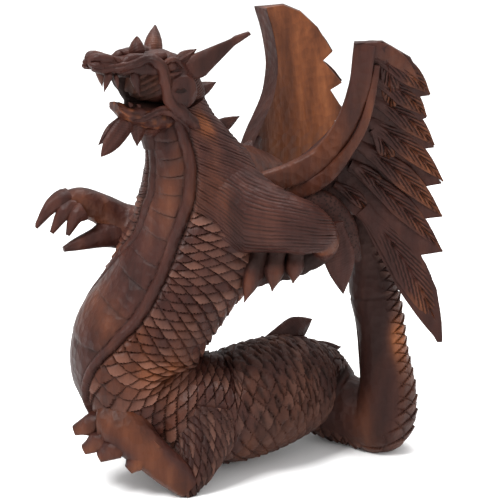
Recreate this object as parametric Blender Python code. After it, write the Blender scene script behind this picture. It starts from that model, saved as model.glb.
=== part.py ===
"""Wooden dragon statue, carved from one block of wood.

The dragon sits up on its haunches and roars. Its neck, belly, hindquarters and tail are one
bending trunk. Two wings rise from its back, one arm reaches out, one is folded under its wing,
and it stands on both heels and on the underside of its tail.

Frame: +X is the statue's right hand side as its front is seen, +Y points away from that view,
+Z is up, and the origin is the middle of the base. The pose is written as points in units of
one millimetre on a statue REFERENCE_HEIGHT tall, and HEIGHT scales the whole figure.
"""
import math

import bmesh
import bpy
import numpy as np

# Driving dimensions, in metres
HEIGHT = 0.406
REFERENCE_HEIGHT = 406.0
MM = HEIGHT / REFERENCE_HEIGHT

# Carving and tool sizes, in millimetres of the reference figure
BELLY_RIM_WIDTH = 10.0
BELLY_RIM_HEIGHT = 4.0
FAR_RIM_HEIGHT = 1.5
PLATE_GROOVE = 2.2
PLATE_GROOVE_HALF = 5.0
WING_SHEET = 7.0
FEATHER_THICKNESS = 5.0
FEATHER_TILT = 0.35
HAUNCH_STEP = 5.0
CARVING_GRID = 1.9
FACE_COUNT = 9300
WOOD_COLOUR = (0.105, 0.047, 0.032, 1.0)
WOOD_ROUGHNESS = 0.46

# The trunk: centre x, y, z, radius, and the way its belly faces
TRUNK = [
    (-65, -3, 342, 25, (-0.50, -0.86, 0.0)),
    (-59, -1, 318, 31.5, (-0.48, -0.88, 0.0)),
    (-50, 2, 292, 39, (-0.52, -0.85, 0.0)),
    (-45, 6, 264, 46, (-0.60, -0.80, 0.0)),
    (-48, 9, 232, 51, (-0.68, -0.73, 0.0)),
    (-59, 11, 194, 56, (-0.76, -0.65, 0.0)),
    (-83, 8, 155, 55, (-0.84, -0.54, 0.0)),
    (-101, 5, 124, 57, (-0.92, -0.38, -0.1)),
    (-101, 4, 94, 55, (-0.86, -0.26, -0.44)),
    (-73, 8, 68, 49, (-0.45, -0.15, -0.88)),
    (-32, 18, 54, 49, (0.0, 0.0, -1.0)),
    (0, 31, 57, 51, (0.0, 0.0, -1.0)),
    (32, 58, 58, 48, (0.0, 0.0, -1.0)),
    (57, 80, 51, 40, (0.0, 0.0, -1.0)),
    (79, 75, 34, 34, (0.1, 0.0, -1.0)),
    (99, 65, 29, 32, (0.2, 0.1, -1.0)),
    (119, 52, 29, 31, (0.6, -0.2, -0.8)),
    (126, 51, 57, 26, (1.0, -0.1, -0.3)),
    (122, 57, 95, 22, (1.0, 0.0, 0.0)),
    (118, 60, 125, 21.5, (1.0, 0.0, 0.0)),
    (113, 63, 150, 22, (1.0, 0.0, 0.0)),
    (110, 64, 178, 20, (1.0, 0.0, 0.0)),
    (103, 58, 205, 18, (1.0, 0.0, 0.0)),
    (97, 48, 236, 14, (1.0, 0.0, 0.0)),
]
BELLY_STATIONS = 10.5

# Half angle of the belly band at trunk stations, and distances along the trunk of its grooves
BELLY_EDGE = [(0, 36), (1.1, 34), (1.7, 31), (2.2, 27), (2.8, 25), (4.0, 23), (4.6, 25), (5.4, 30),
              (5.9, 37), (6.5, 42), (6.9, 44), (7.3, 38), (7.6, 30), (7.9, 20), (8.5, 12), (11, 10)]
BELLY_GROOVES = [22, 35, 49, 64, 89, 117, 148, 181, 212, 240, 262]

# Head frame: the head turns half way towards the near side and looks up a little
HEAD = np.array((-62.0, -6.0, 362.0))
HEAD_FORWARD = np.array((-0.8, -0.6, 0.0))
HEAD_LEFT = np.array((0.6, -0.8, 0.0))
UP = np.array((0.0, 0.0, 1.0))


def unit(v):
    """The vector scaled to length one."""
    v = np.asarray(v, float)
    return v / np.linalg.norm(v)


def in_head(f, l, u):
    """A point given forward, left and up of the middle of the head."""
    return HEAD + f * HEAD_FORWARD + l * HEAD_LEFT + u * UP


def through(points, per_span):
    """A smooth Catmull-Rom curve through rows of numbers, with per_span steps to a span."""
    p = np.asarray(points, float)
    p = np.vstack([2 * p[0] - p[1], p, 2 * p[-1] - p[-2]])
    rows = []
    for i in range(1, len(p) - 2):
        for k in range(per_span):
            t = k / per_span
            a, b, c, d = p[i - 1], p[i], p[i + 1], p[i + 2]
            rows.append(0.5 * (2 * b + (c - a) * t + (2 * a - 5 * b + 4 * c - d) * t ** 2
                               + (3 * b - a - 3 * c + d) * t ** 3))
    rows.append(p[-2])
    return np.array(rows)


def skin(bm, rings):
    """Faces round a row of closed rings, with both ends closed."""
    made = [[bm.verts.new(tuple(co * MM)) for co in ring] for ring in rings]
    count = len(made[0])
    for low, high in zip(made, made[1:]):
        for j in range(count):
            k = (j + 1) % count
            bm.faces.new((low[j], low[k], high[k], high[j]))
    bm.faces.new(made[0][::-1])
    bm.faces.new(made[-1])


def limb(bm, stations, facing, sides=14, per_span=5, flat=1.0):
    """A round or flattened limb through (x, y, z, radius) stations.

    facing is the direction in which the section is multiplied by flat.
    """
    path = through(stations, per_span)
    centres, radii = path[:, :3], path[:, 3]
    tangents = np.gradient(centres, axis=0)
    turn = np.linspace(0, 2 * math.pi, sides, endpoint=False)
    rings = []
    for centre, radius, tangent in zip(centres, radii, tangents):
        tangent = unit(tangent)
        front = unit(np.asarray(facing, float) - np.dot(facing, tangent) * tangent)
        side = np.cross(tangent, front)
        rings.append([centre + radius * (math.cos(a) * side + flat * math.sin(a) * front)
                      for a in turn])
    skin(bm, rings)


def leaf(bm, base, tip, width, thickness, facing, bulge=0.35, bend=(0, 0, 0), fall=1.7):
    """A pointed leaf, horn or feather from base to tip, widest at the share bulge of its length.

    A larger fall keeps it wide for longer before it closes towards the tip.
    """
    base, tip, bend = (np.asarray(v, float) for v in (base, tip, bend))
    stations = []
    for t in (0.0, 0.15, 0.35, 0.55, 0.75, 0.9, 1.0):
        swell = (t / bulge) ** 0.4 if t < bulge else 1 - ((t - bulge) / (1 - bulge)) ** fall
        centre = base + t * (tip - base) + 4 * t * (1 - t) * bend
        stations.append((*centre, max(0.5 * width * max(swell, 0.55 if t < bulge else 0), 1.1)))
    limb(bm, stations, facing, sides=10, per_span=2, flat=thickness / width)


def belly_relief(turn, along, station, radius):
    """Height added to the trunk round its section: rims beside the belly, grooves across it."""
    edge = math.radians(np.interp(station, *zip(*BELLY_EDGE)))
    away = radius * (abs(turn) - edge)
    if abs(away) < 0.5 * BELLY_RIM_WIDTH:
        height = BELLY_RIM_HEIGHT if turn > 0 else FAR_RIM_HEIGHT
        return height * math.cos(math.pi * away / BELLY_RIM_WIDTH)
    if away < 0:
        nearest = min(abs(along - groove) for groove in BELLY_GROOVES)
        return -PLATE_GROOVE * max(0.0, 1 - nearest / PLATE_GROOVE_HALF)
    return 0.0


def haunch_step(turn, station):
    """Depth of the step where the tail comes out from behind the haunch, on its near side."""
    past = min(1.0, max(0.0, (station - 13.3) / 0.3)) * min(1.0, max(0.0, (17.0 - station) / 2.0))
    return HAUNCH_STEP * past * max(0.0, math.sin(turn))


def trunk(bm, sides=64, per_span=10):
    """Neck, belly, hindquarters and tail as one bending body with the belly band carved in."""
    path = through([(x, y, z, r, *f) for x, y, z, r, f in TRUNK], per_span)
    centres = path[:, :3]
    tangents = np.gradient(centres, axis=0)
    steps = np.linalg.norm(np.diff(centres, axis=0), axis=1)
    along = np.concatenate([[0.0], np.cumsum(steps)])
    rings = []
    for i, (row, tangent) in enumerate(zip(path, tangents)):
        tangent = unit(tangent)
        front = unit(row[4:7] - np.dot(row[4:7], tangent) * tangent)
        side = np.cross(front, tangent)
        station = i / per_span
        fade = min(1.0, max(0.0, BELLY_STATIONS - station))
        ring = []
        for j in range(sides):
            a = 2 * math.pi * j / sides - math.pi
            lift = fade * belly_relief(a, along[i], station, row[3]) - haunch_step(a, station)
            ring.append(row[:3] + (row[3] + lift) * (math.cos(a) * front + math.sin(a) * side))
        rings.append(ring)
    skin(bm, rings)


def skull(bm):
    """Skull, open jaws, cheeks, ears, brow, teeth and beard, in the head's own frame."""
    def jaw(rows, sides=16):
        """A loft of (forward, up, half width, half height) stations."""
        rings = []
        turn = np.linspace(0, 2 * math.pi, sides, endpoint=False)
        for f, u, w, h in through(rows, 3):
            rings.append([in_head(f, w * math.cos(a), u + h * math.sin(a)) for a in -turn])
        skin(bm, rings)

    # Skull with the roof of the mouth, upper jaw with its raised nose, and lower jaw
    jaw([(-21, -11, 12, 10), (-13, -5, 18, 17), (-2, 2, 22, 21), (14, 6, 22, 23), (28, 8, 19, 21),
         (40, 9, 16, 19), (49, 10, 12, 14)])
    jaw([(12, 16, 20, 14), (30, 18, 19, 12), (44, 20, 16, 10), (58, 21, 13, 8.5),
         (70, 24, 11, 9), (79, 27, 10, 8.5), (85, 29, 8, 6), (88, 29, 4, 3)])
    jaw([(-8, -24, 18, 14), (10, -26, 19, 14), (28, -24, 18, 13), (44, -20, 15, 11),
         (56, -17, 12, 8), (64, -12, 8, 4)])
    # The throat under the jaw, and the mouth's wall on the far side
    limb(bm, [(*in_head(30, 0, -26), 12), (-84, -10, 326, 12), (-79, -10, 308, 10)], (0, -1, 0))
    limb(bm, [(*in_head(52, -12, 14), 8), (*in_head(46, -13, 4), 8), (*in_head(38, -13, -8), 8),
              (*in_head(36, -12, -18), 8)], (0, -1, 0), sides=12)
    for side in (1, -1):
        # Cheek disc, lip ridge that arches down into a strap behind the mouth, eye and brow
        limb(bm, [(*in_head(10, side * 14, -2), 17), (*in_head(10, side * 22, -3), 17),
                  (*in_head(10, side * 26, -3), 14)], UP, sides=18, per_span=2)
        limb(bm, [(*in_head(86, side * 7, 25), 3), (*in_head(64, side * 11, 23), 4),
                  (*in_head(52, side * 14, 25), 4), (*in_head(39, side * 17, 28), 4),
                  (*in_head(28, side * 20, 20), 5), (*in_head(25, side * 21, 0), 5),
                  (*in_head(20, side * 20, -20), 5), (*in_head(8, side * 18, -32), 4),
                  (*in_head(-6, side * 17, -40), 4)], HEAD_LEFT, sides=10)
        limb(bm, [(*in_head(20, side * 15, 21), 5), (*in_head(19, side * 20, 20), 6),
                  (*in_head(18, side * 22, 20), 3)], UP, sides=10, per_span=2)
        limb(bm, [(*in_head(22, side * 13, 27), 5), (*in_head(38, side * 14, 28), 4),
                  (*in_head(52, side * 9, 29), 4), (*in_head(58, side * 8, 26), 3)], UP)
        # Nostril and teeth
        limb(bm, [(*in_head(72, side * 7, 30), 4), (*in_head(78, side * 8, 32), 5),
                  (*in_head(85, side * 6, 31), 3)], UP, sides=10, per_span=2)
        leaf(bm, in_head(73, side * 8, 20), in_head(74 + 4 * side, side * 8, 4), 9, 6, HEAD_FORWARD)
        leaf(bm, in_head(52, side * 12, 17), in_head(46, side * 12, -4), 9, 6, HEAD_LEFT)
    # Ears: the near one sweeps right, the far one straight back
    leaf(bm, (-54, -18, 370), (0, -12, 408), 24, 14, (0.3, 0.9, 0.2), bulge=0.12, fall=1.3)
    leaf(bm, (-84, 2, 372), (-82, 37, 402), 20, 16, (0.9, -0.2, 0.2), bulge=0.45)
    # Brow leaf, back-of-head spike, beard of two leaves and a small throat spike
    leaf(bm, in_head(40, 0, 26), in_head(40, 0, 45), 16, 13, HEAD_FORWARD)
    leaf(bm, in_head(40, -6, 27), in_head(53, -8, 33), 13, 9, UP)
    leaf(bm, in_head(-16, 0, -12), in_head(-41, 0, -6), 15, 8, UP + HEAD_LEFT, bulge=0.2)
    leaf(bm, in_head(46, 3, -20), in_head(79, 3, -52), 20, 10, HEAD_LEFT, bulge=0.5, fall=2.4)
    leaf(bm, in_head(48, -5, -22), in_head(77, -5, -44), 12, 8, HEAD_LEFT, bulge=0.5)
    leaf(bm, in_head(41, 2, -26), in_head(43, 2, -49), 17, 9, HEAD_LEFT, bulge=0.2)


def arms(bm):
    """The far arm reaches forward with open claws; the near one folds under its own wing."""
    limb(bm, [(-72, 30, 224, 24), (-94, 40, 217, 19), (-114, 42, 222, 18), (-131, 36, 236, 14),
              (-149, 28, 246, 13), (-162, 23, 249, 9)], (0, -1, 0))
    for knuckle, tip in (((-160, 24, 250), (-188, 8, 228)), ((-154, 20, 243), (-174, 8, 223)),
                         ((-147, 16, 240), (-160, 8, 221))):
        middle = (0.55 * knuckle[0] + 0.45 * tip[0], 0.5 * (knuckle[1] + tip[1]), knuckle[2] - 3)
        limb(bm, [(*knuckle, 8), (*middle, 7), (*tip, 2)], (0, -1, 0), sides=10)
    limb(bm, [(-112, 38, 214, 14), (-132, 26, 214, 10), (-152, 14, 211, 6), (-164, 8, 208, 2.5)],
         (0, -1, 0), sides=10)
    # Shoulder and upper arm under the mane, elbow, and the forearm turned back under it
    limb(bm, [(-52, 4, 262, 26), (-26, -11, 258, 33), (4, -24, 250, 28), (28, -28, 244, 25),
              (50, -28, 237, 21), (63, -24, 228, 14), (62, -10, 214, 12), (44, -4, 204, 15),
              (22, -8, 200, 17), (4, -14, 200, 15)], (0, -0.3, 1))
    for knuckle, tip in (((4, -16, 200), (-5, -32, 173)), ((18, -16, 200), (19, -30, 183)),
                         ((34, -12, 202), (37, -26, 189))):
        leaf(bm, knuckle, tip, 18, 14, (0, -1, 0), bulge=0.3)
    leaf(bm, (74, -2, 236), (82, -2, 170), 28, 9, (0, -1, 0), bulge=0.45)


def hind_legs(bm):
    """Two hind feet: both heels touch the ground and the near toes are lifted."""
    # Tufted ankle, foot and toes on the near side
    limb(bm, [(-42, -14, 60, 32), (-43, -28, 42, 27), (-48, -42, 22, 18), (-54, -50, 8, 11),
              (-56, -52, -3, 7)], (0, -1, 0), flat=0.8)
    limb(bm, [(-54, -50, 8, 13), (-68, -53, 22, 15.5), (-88, -52, 40, 17), (-108, -48, 57, 20),
              (-124, -42, 63, 17), (-132, -40, 62, 12)], (0, -1, 0), flat=0.75)
    for knuckle, tip in (((-122, -36, 68), (-155, -34, 54)), ((-116, -46, 58), (-146, -44, 40)),
                         ((-108, -54, 52), (-132, -54, 37)), ((-88, -58, 46), (-106, -58, 27))):
        middle = [0.45 * a + 0.55 * b for a, b in zip(knuckle, tip)]
        limb(bm, [(*knuckle, 10), (*middle, 8.5), (*tip, 4.5)], (0, -1, 0), sides=10)
    # The far leg behind the belly, plainer
    limb(bm, [(-70, 34, 62, 30), (-72, 50, 42, 24), (-66, 62, 20, 16), (-62, 66, -4, 12)], (0, 1, 0))
    limb(bm, [(-60, 66, 6, 11), (-78, 66, 12, 15), (-98, 62, 14, 14), (-112, 60, 10, 9)],
         (0, 1, 0), flat=0.8)
    for spread in (-11, 0, 11):
        limb(bm, [(-100, 62 + 0.6 * spread, 12, 8), (-114, 61 + spread, 9, 6),
                  (-124, 60 + 1.2 * spread, 4, 3)], (0, 1, 0), sides=10)


def near_wing_depth(x, z):
    """How far back the near wing's sheet lies: its upper front corner comes forward."""
    return 32 - 0.30 * max(z - 270, 0) * (1 - (x - 85) / 180) - 0.06 * max(270 - z, 0)


def far_wing_depth(x, z):
    """How far back the far wing's sheet lies: it runs away from the near one."""
    return 75 + 0.25 * max(z - 287, 0) + 0.62 * (x + 14)


# Wing outlines seen from the front: rows of height, leading edge x and trailing edge x
NEAR_ROWS = [(396, 88, 112), (380, 88, 137), (345, 86, 155), (343, 85, 139), (324, 78, 153),
             (321, 76, 144), (296, 54, 161), (294, 52, 147), (268, 22, 164), (262, 26, 169),
             (258, 40, 147), (246, 74, 158), (232, 97, 170), (229, 98, 145), (200, 112, 171),
             (197, 114, 152), (165, 131, 167), (135, 152, 172), (117, 168, 173)]
FAR_ROWS = [(402, 4, 30), (394, 7, 46), (378, 11, 62), (355, 14, 76), (348, 14, 67),
            (326, 10, 85), (321, 8, 74), (297, -5, 89), (293, -8, 78), (268, -16, 92),
            (264, -14, 78), (240, -4, 92), (236, 0, 76), (206, 26, 90), (196, 50, 84)]
NEAR_FEATHERS = [((104, 384), (155, 346)), ((106, 362), (153, 325)), ((104, 344), (161, 298)),
                 ((98, 326), (170, 264)), ((92, 302), (170, 232)), ((88, 280), (171, 200)),
                 ((100, 240), (173, 119))]
FAR_FEATHERS = [((24, 380), (76, 355)), ((26, 352), (85, 327)), ((20, 328), (89, 298)),
                ((12, 304), (92, 268)), ((6, 280), (92, 240)), ((6, 262), (90, 206))]


def wing(bm, rows, depth, feathers, outside, edge, bevel):
    """One wing: a sheet with a thick leading edge, and feathers laid on its outer face.

    outside is -1 when the outer face looks towards the front view, 1 when away from it. edge
    is half the thickness at the leading edge, which bevel cuts back on the front face.
    """
    share = np.linspace(0, 1, 11)
    half = 0.35 * WING_SHEET + (edge - 0.35 * WING_SHEET) * (1 - share) ** 3
    rings = []
    for z, lead, trail in rows:
        back_x = lead + (trail - lead) * share
        front_x = lead + bevel + (trail - lead - bevel) * share
        back = [np.array((x, depth(x, z) + h, z)) for x, h in zip(back_x, half)]
        front = [np.array((x, depth(x, z) - h, z)) for x, h in zip(front_x, half)]
        rings.append(back + front[::-1])
    skin(bm, rings)
    for i, ((x0, z0), (x1, z1)) in enumerate(feathers):
        lift = outside * 0.5 * WING_SHEET
        base = (x0, depth(x0, z0) + lift, z0)
        tip = (x1, depth(x1, z1) + 0.4 * lift, z1)
        last = i == len(feathers) - 1
        leaf(bm, base, tip, 30 if last else 18, FEATHER_THICKNESS, (0, outside, FEATHER_TILT),
             bulge=0.5, bend=(5, 0, 5) if last else (2, 0, 4))


def wings(bm):
    """Both wings and the hump of the back that carries them."""
    limb(bm, [(-40, 8, 262, 38), (-12, 30, 262, 34), (10, 46, 262, 26), (26, 52, 262, 16)],
         (0, 0, 1))
    limb(bm, [(-20, 34, 258, 26), (-8, 58, 266, 20), (-2, 72, 276, 12)], (0, 0, 1))
    limb(bm, [(10, 34, 262, 20), (34, 34, 258, 16), (56, 30, 250, 12)], (0, 0, 1))
    wing(bm, NEAR_ROWS, near_wing_depth, NEAR_FEATHERS, -1, 5, 0)
    wing(bm, FAR_ROWS, far_wing_depth, FAR_FEATHERS, 1, 8, 11)
    # Two smooth ridges along the near wing's leading edge, and the far wing's shoulder
    limb(bm, [(-6, 28, 266, 4), (14, 30, 265, 8), (36, 26, 275, 9.5), (65, 15, 296, 10),
              (84, 4, 326, 9.5), (94, -2, 358, 9), (96, -5, 384, 8.5), (96, -6, 394, 8)],
         (0, -1, 0), flat=0.9)
    limb(bm, [(8, 28, 256, 5), (34, 24, 258, 5.5), (60, 14, 268, 5.5), (80, 6, 290, 5),
              (94, 0, 318, 4.5), (101, -3, 345, 3.5)], (0, -1, 0), sides=10)
    limb(bm, [(-14, 58, 260, 12), (-6, 72, 280, 10), (4, 84, 296, 7)], (0, -1, 0))
    # The dorsal fin on the hindquarters and the spike on the back of the neck
    leaf(bm, (-6, 52, 84), (58, 93, 112), 30, 12, (0.6, -0.8, 0), bulge=0.7)
    leaf(bm, (48, 84, 80), (86, 104, 80), 22, 9, (0.6, -0.8, 0), bulge=0.35)
    leaf(bm, (-34, 20, 311), (-9, 30, 323), 16, 8, (0.6, -0.8, 0), bulge=0.25)


def carve(name):
    """All the forms fused into one closed solid, cut level under its heels and tail."""
    bm = bmesh.new()
    trunk(bm)
    skull(bm)
    arms(bm)
    hind_legs(bm)
    wings(bm)
    bmesh.ops.recalc_face_normals(bm, faces=bm.faces)
    mesh = bpy.data.meshes.new(name)
    bm.to_mesh(mesh)
    bm.free()
    figure = bpy.data.objects.new(name, mesh)
    bpy.context.collection.objects.link(figure)
    fuse = figure.modifiers.new("fuse", "REMESH")
    fuse.mode = "VOXEL"
    fuse.voxel_size = CARVING_GRID * MM
    smooth = figure.modifiers.new("soften", "SMOOTH")
    smooth.factor = 0.5
    smooth.iterations = 2
    fine = evaluated(figure)
    plain = figure.modifiers.new("facets", "DECIMATE")
    plain.ratio = FACE_COUNT / (2 * len(fine.polygons))
    ground = bpy.data.meshes.new("ground")
    cutter = bmesh.new()
    bmesh.ops.create_cube(cutter, size=1.0)
    bmesh.ops.scale(cutter, vec=(HEIGHT * 2, HEIGHT * 2, HEIGHT * 0.2), verts=cutter.verts)
    bmesh.ops.translate(cutter, vec=(0, 0, -HEIGHT * 0.1), verts=cutter.verts)
    cutter.to_mesh(ground)
    cutter.free()
    ground_object = bpy.data.objects.new("ground_cutter", ground)
    ground_object.hide_render = True
    ground_object.display_type = "WIRE"
    bpy.context.collection.objects.link(ground_object)
    level = figure.modifiers.new("level", "BOOLEAN")
    level.operation = "DIFFERENCE"
    level.solver = "EXACT"
    level.object = ground_object
    return figure


def evaluated(item):
    """The object's mesh with its modifiers applied."""
    bpy.context.view_layer.update()
    return bpy.data.meshes.new_from_object(item.evaluated_get(bpy.context.evaluated_depsgraph_get()))


def centre_on_base(item):
    """Freeze the modifiers and put the middle of the base at the origin."""
    mesh = evaluated(item)
    item.modifiers.clear()
    item.data = mesh
    co = np.array([v.co for v in mesh.vertices])
    low, high = co.min(axis=0), co.max(axis=0)
    middle = 0.5 * (low + high)
    for v in mesh.vertices:
        v.co.x -= middle[0]
        v.co.y -= middle[1]
    print("moved by", -middle[:2] / MM, "box", (high - low) / MM, "lowest", low[2] / MM,
          "faces", len(mesh.polygons))


def wood(name):
    """Dark reddish brown oiled wood."""
    material = bpy.data.materials.new(name)
    material.use_nodes = True
    shader = material.node_tree.nodes["Principled BSDF"]
    shader.inputs["Base Color"].default_value = WOOD_COLOUR
    shader.inputs["Roughness"].default_value = WOOD_ROUGHNESS
    shader.inputs["Metallic"].default_value = 0.0
    return material


for item in list(bpy.data.objects):
    bpy.data.objects.remove(item, do_unlink=True)

dragon = carve("dragon")
centre_on_base(dragon)
dragon.data.materials.clear()
dragon.data.materials.append(wood("carved wood"))
dragon.data.shade_smooth()
dragon.data.set_sharp_from_angle(angle=math.radians(40))
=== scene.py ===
# %% [markdown]
# # A carved wooden dragon
# The statue is one block of hardwood: a roaring dragon that sits on its haunches, with two
# feathered wings and an upturned tail. This lesson rebuilds its skin as one closed carving,
# form by form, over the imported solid, and then stains, waxes and lights it.

# %% Load the frame
import math

import bpy
import numpy as np
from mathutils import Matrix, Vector


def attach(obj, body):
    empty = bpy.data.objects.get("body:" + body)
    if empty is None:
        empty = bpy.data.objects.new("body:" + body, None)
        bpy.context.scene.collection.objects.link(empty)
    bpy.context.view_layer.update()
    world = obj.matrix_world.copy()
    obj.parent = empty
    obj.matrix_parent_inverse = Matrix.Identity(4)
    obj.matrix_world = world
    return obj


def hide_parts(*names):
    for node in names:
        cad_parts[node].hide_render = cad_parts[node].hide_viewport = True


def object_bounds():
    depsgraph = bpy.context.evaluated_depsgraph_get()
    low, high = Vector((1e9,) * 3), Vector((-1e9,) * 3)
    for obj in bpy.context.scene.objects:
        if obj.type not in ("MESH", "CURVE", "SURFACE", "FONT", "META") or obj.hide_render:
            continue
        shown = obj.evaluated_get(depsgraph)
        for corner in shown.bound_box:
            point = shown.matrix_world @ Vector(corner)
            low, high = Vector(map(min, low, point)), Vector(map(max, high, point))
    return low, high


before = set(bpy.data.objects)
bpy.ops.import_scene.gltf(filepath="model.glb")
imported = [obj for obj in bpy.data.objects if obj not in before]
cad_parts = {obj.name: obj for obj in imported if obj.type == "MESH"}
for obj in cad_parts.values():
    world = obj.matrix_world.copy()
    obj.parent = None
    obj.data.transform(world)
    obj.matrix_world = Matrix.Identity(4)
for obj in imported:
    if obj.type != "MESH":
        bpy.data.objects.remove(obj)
CAD_BOX = [list(corner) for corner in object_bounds()]
print("frame nodes", sorted(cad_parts), "box", CAD_BOX)

# %% [markdown]
# ## One unit for the whole figure
# The carving is laid out in millimetres on a figure of reference height, the same layout the
# solid has. One scale turns it into metres, and one shift puts the middle of the base at the
# origin, so every form lands on the solid without fitting.

# %% Units and places
REFERENCE_HEIGHT = 406.32
MM = (CAD_BOX[1][2] - CAD_BOX[0][2]) / REFERENCE_HEIGHT
SHIFT = np.array((7.61, -40.85, 0.0))
TRIANGLE_BUDGET = 192000
SHARP_ANGLE = math.radians(50)
UP = np.array((0.0, 0.0, 1.0))
TO_CAMERA = np.array((0.0, -1.0, 0.0))
print("one unit is", round(MM * 1000, 4), "mm")

# %% [markdown]
# ## Small tools for whole arrays
# A carved form is a closed section carried along a path. The path runs smoothly through a few
# stations, and a carving rule gives the height of the surface at every point of the grid at
# once, so nothing here loops over vertices.

# %% Paths and shapes
def unit(v):
    """Vectors divided by their own length."""
    v = np.asarray(v, float)
    return v / np.maximum(np.linalg.norm(v, axis=-1, keepdims=True), 1e-9)


def through(stations, at):
    """Catmull-Rom curve: each span is the cubic through its two stations whose slopes are half
    the differences of the stations around them, read at the station numbers in at."""
    p = np.asarray(stations, float)
    p = np.vstack([2 * p[0] - p[1], p, 2 * p[-1] - p[-2]])
    at = np.clip(np.asarray(at, float), 0, len(p) - 3)
    i = np.minimum(at.astype(int), len(p) - 4)
    t = (at - i)[:, None]
    a, b, c, d = p[i], p[i + 1], p[i + 2], p[i + 3]
    return 0.5 * (2 * b + (c - a) * t + (2 * a - 5 * b + 4 * c - d) * t ** 2
                  + (3 * b - a - 3 * c + d) * t ** 3)


def smooth_step(x, low, high):
    """0 below low, 1 above high, and the smooth cubic 3x^2 - 2x^3 between."""
    t = np.clip((x - low) / (high - low), 0, 1)
    return t * t * (3 - 2 * t)


def hump(x, middle, width):
    """The bell curve exp(-((x - middle) / width)^2): 1 at the middle, near 0 two widths away."""
    return np.exp(-((x - middle) / width) ** 2)


def ripple(u, v):
    """A soft wandering value between -1 and 1: a sum of sines that cross at odd angles."""
    total = 0.0
    for k, (a, b) in enumerate(((1.0, 0.7), (-0.6, 1.3), (1.7, -0.4), (0.3, -1.9))):
        total = total + np.sin(a * u + b * v + 1.7 * k) / (1 + 0.6 * k)
    return total / 2.6


def cut_line(x, pitch):
    """Depth 0 to 1 of narrow V cuts repeated every pitch, with rounded ridges between."""
    return np.abs(np.cos(math.pi * x / pitch)) ** 3


SHELLS = []
MARKS = ("cut", "warm", "comb", "combed", "stipple", "row", "column", "scaled")


def add_shell(points, marks):
    """Keep a closed form: a grid of rings, each end drawn together in one point.

    marks holds one value per grid point for each finish: cut darkens a recess with painted shade
    and makes some whole faces darker, warm is bare orange heartwood and in a few places a painted
    highlight, comb counts fine grooves, combed says how strong they are, stipple is wood pecked
    all over with a point, and row and column count scales that scaled makes strong."""
    rows, sides = points.shape[:2]
    index = np.arange(rows * sides).reshape(rows, sides)
    following = np.roll(index, -1, axis=1)
    a, b = index[:-1].ravel(), following[:-1].ravel()
    c, d = following[1:].ravel(), index[1:].ravel()
    first, last = rows * sides, rows * sides + 1
    faces = np.vstack([
        np.column_stack([a, b, c]), np.column_stack([a, c, d]),
        np.column_stack([np.full(sides, first), following[0], index[0]]),
        np.column_stack([np.full(sides, last), index[-1], following[-1]])])
    flat = np.vstack([points.reshape(-1, 3), points[0].mean(0), points[-1].mean(0)])
    p = flat[faces]
    volume = np.einsum("ij,ij->i", p[:, 0], np.cross(p[:, 1], p[:, 2])).sum()
    if volume < 0:
        faces = faces[:, ::-1]
    values = {}
    for name in MARKS:
        grid = np.zeros((rows, sides)) + marks.get(name, 0.0)
        values[name] = np.concatenate([grid.ravel(), [grid[0].mean(), grid[-1].mean()]])
    SHELLS.append((flat, faces, values))


def distance_to(stations, points):
    """Distance from points to the skin of a limb, taken as balls strung along its path."""
    path = through(stations, np.linspace(0, len(stations) - 1, 12 * len(stations)))
    best = np.full(len(points), 1e9)
    for x, y, z, r in path[:, :4]:
        gap = np.sqrt(((points - (x, y, z)) ** 2).sum(1)) - r
        np.minimum(best, gap, out=best)
    return best


# Points farther than this from a mass's stations are too far from its skin to be lifted
SEARCH_MARGIN = 90


def soft_join(points, joins):
    """Lift that rounds the crease where a form meets the masses that joins names, each with its
    own reach: reach / 4 where the skins cross, falling off as the square of 1 - gap / reach.
    Also the share of each point that lies deep inside another mass and is never seen."""
    flat = points.reshape(-1, 3)
    lift, depth = np.zeros(len(flat)), np.full(len(flat), 1e9)
    for name, reach in joins.items():
        stations = np.asarray(MASSES[name])
        low, high = stations[:, :3].min(0) - SEARCH_MARGIN, stations[:, :3].max(0) + SEARCH_MARGIN
        near = np.all((flat > low) & (flat < high), axis=1)
        gap = distance_to(stations, flat[near])
        swell = 0.25 * reach * np.clip(1 - np.abs(gap) / reach, 0, 1) ** 2
        lift[near] = np.maximum(lift[near], swell)
        depth[near] = np.minimum(depth[near], gap)
    hidden = smooth_step(-depth, 5, 9)
    return lift.reshape(points.shape[:2]), hidden.reshape(points.shape[:2])


def sweep(stations, facing, rows, sides, flat=1.0, carve=None, ease=1.0, joins=None):
    """A limb: at each station an ellipse stands square to the path, flat times as deep along
    facing as it is wide. carve(t, along, turn, points, radius) returns heights and marks, and
    joins names the masses that it flows into, each with its reach."""
    t = (len(stations) - 1) * np.linspace(0, 1, rows) ** ease
    path = through(stations, t)
    centre, radius = path[:, :3], np.maximum(path[:, 3], 0.4)
    tangent = unit(np.gradient(centre, axis=0))
    if path.shape[1] > 4:
        facing = path[:, 4:7]
    else:
        facing = np.broadcast_to(np.asarray(facing, float), centre.shape)
    front = unit(facing - (facing * tangent).sum(1, keepdims=True) * tangent)
    side = np.cross(front, tangent)
    along = np.concatenate([[0], np.cumsum(np.linalg.norm(np.diff(centre, axis=0), axis=1))])
    turn = np.linspace(-math.pi, math.pi, sides, endpoint=False)
    out = (flat * np.cos(turn)[None, :, None] * front[:, None]
           + np.sin(turn)[None, :, None] * side[:, None])
    points = centre[:, None] + radius[:, None, None] * out
    out = unit(out)
    marks, hidden = {}, 0
    if joins:
        swell, hidden = soft_join(points, joins)
        points = points + swell[..., None] * out
    if carve:
        lift, marks = carve(t[:, None], along[:, None], turn[None, :], points, radius[:, None])
        points = points + (lift * (1 - hidden) * np.ones(points.shape[:2]))[..., None] * out
    add_shell(points, marks)


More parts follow.
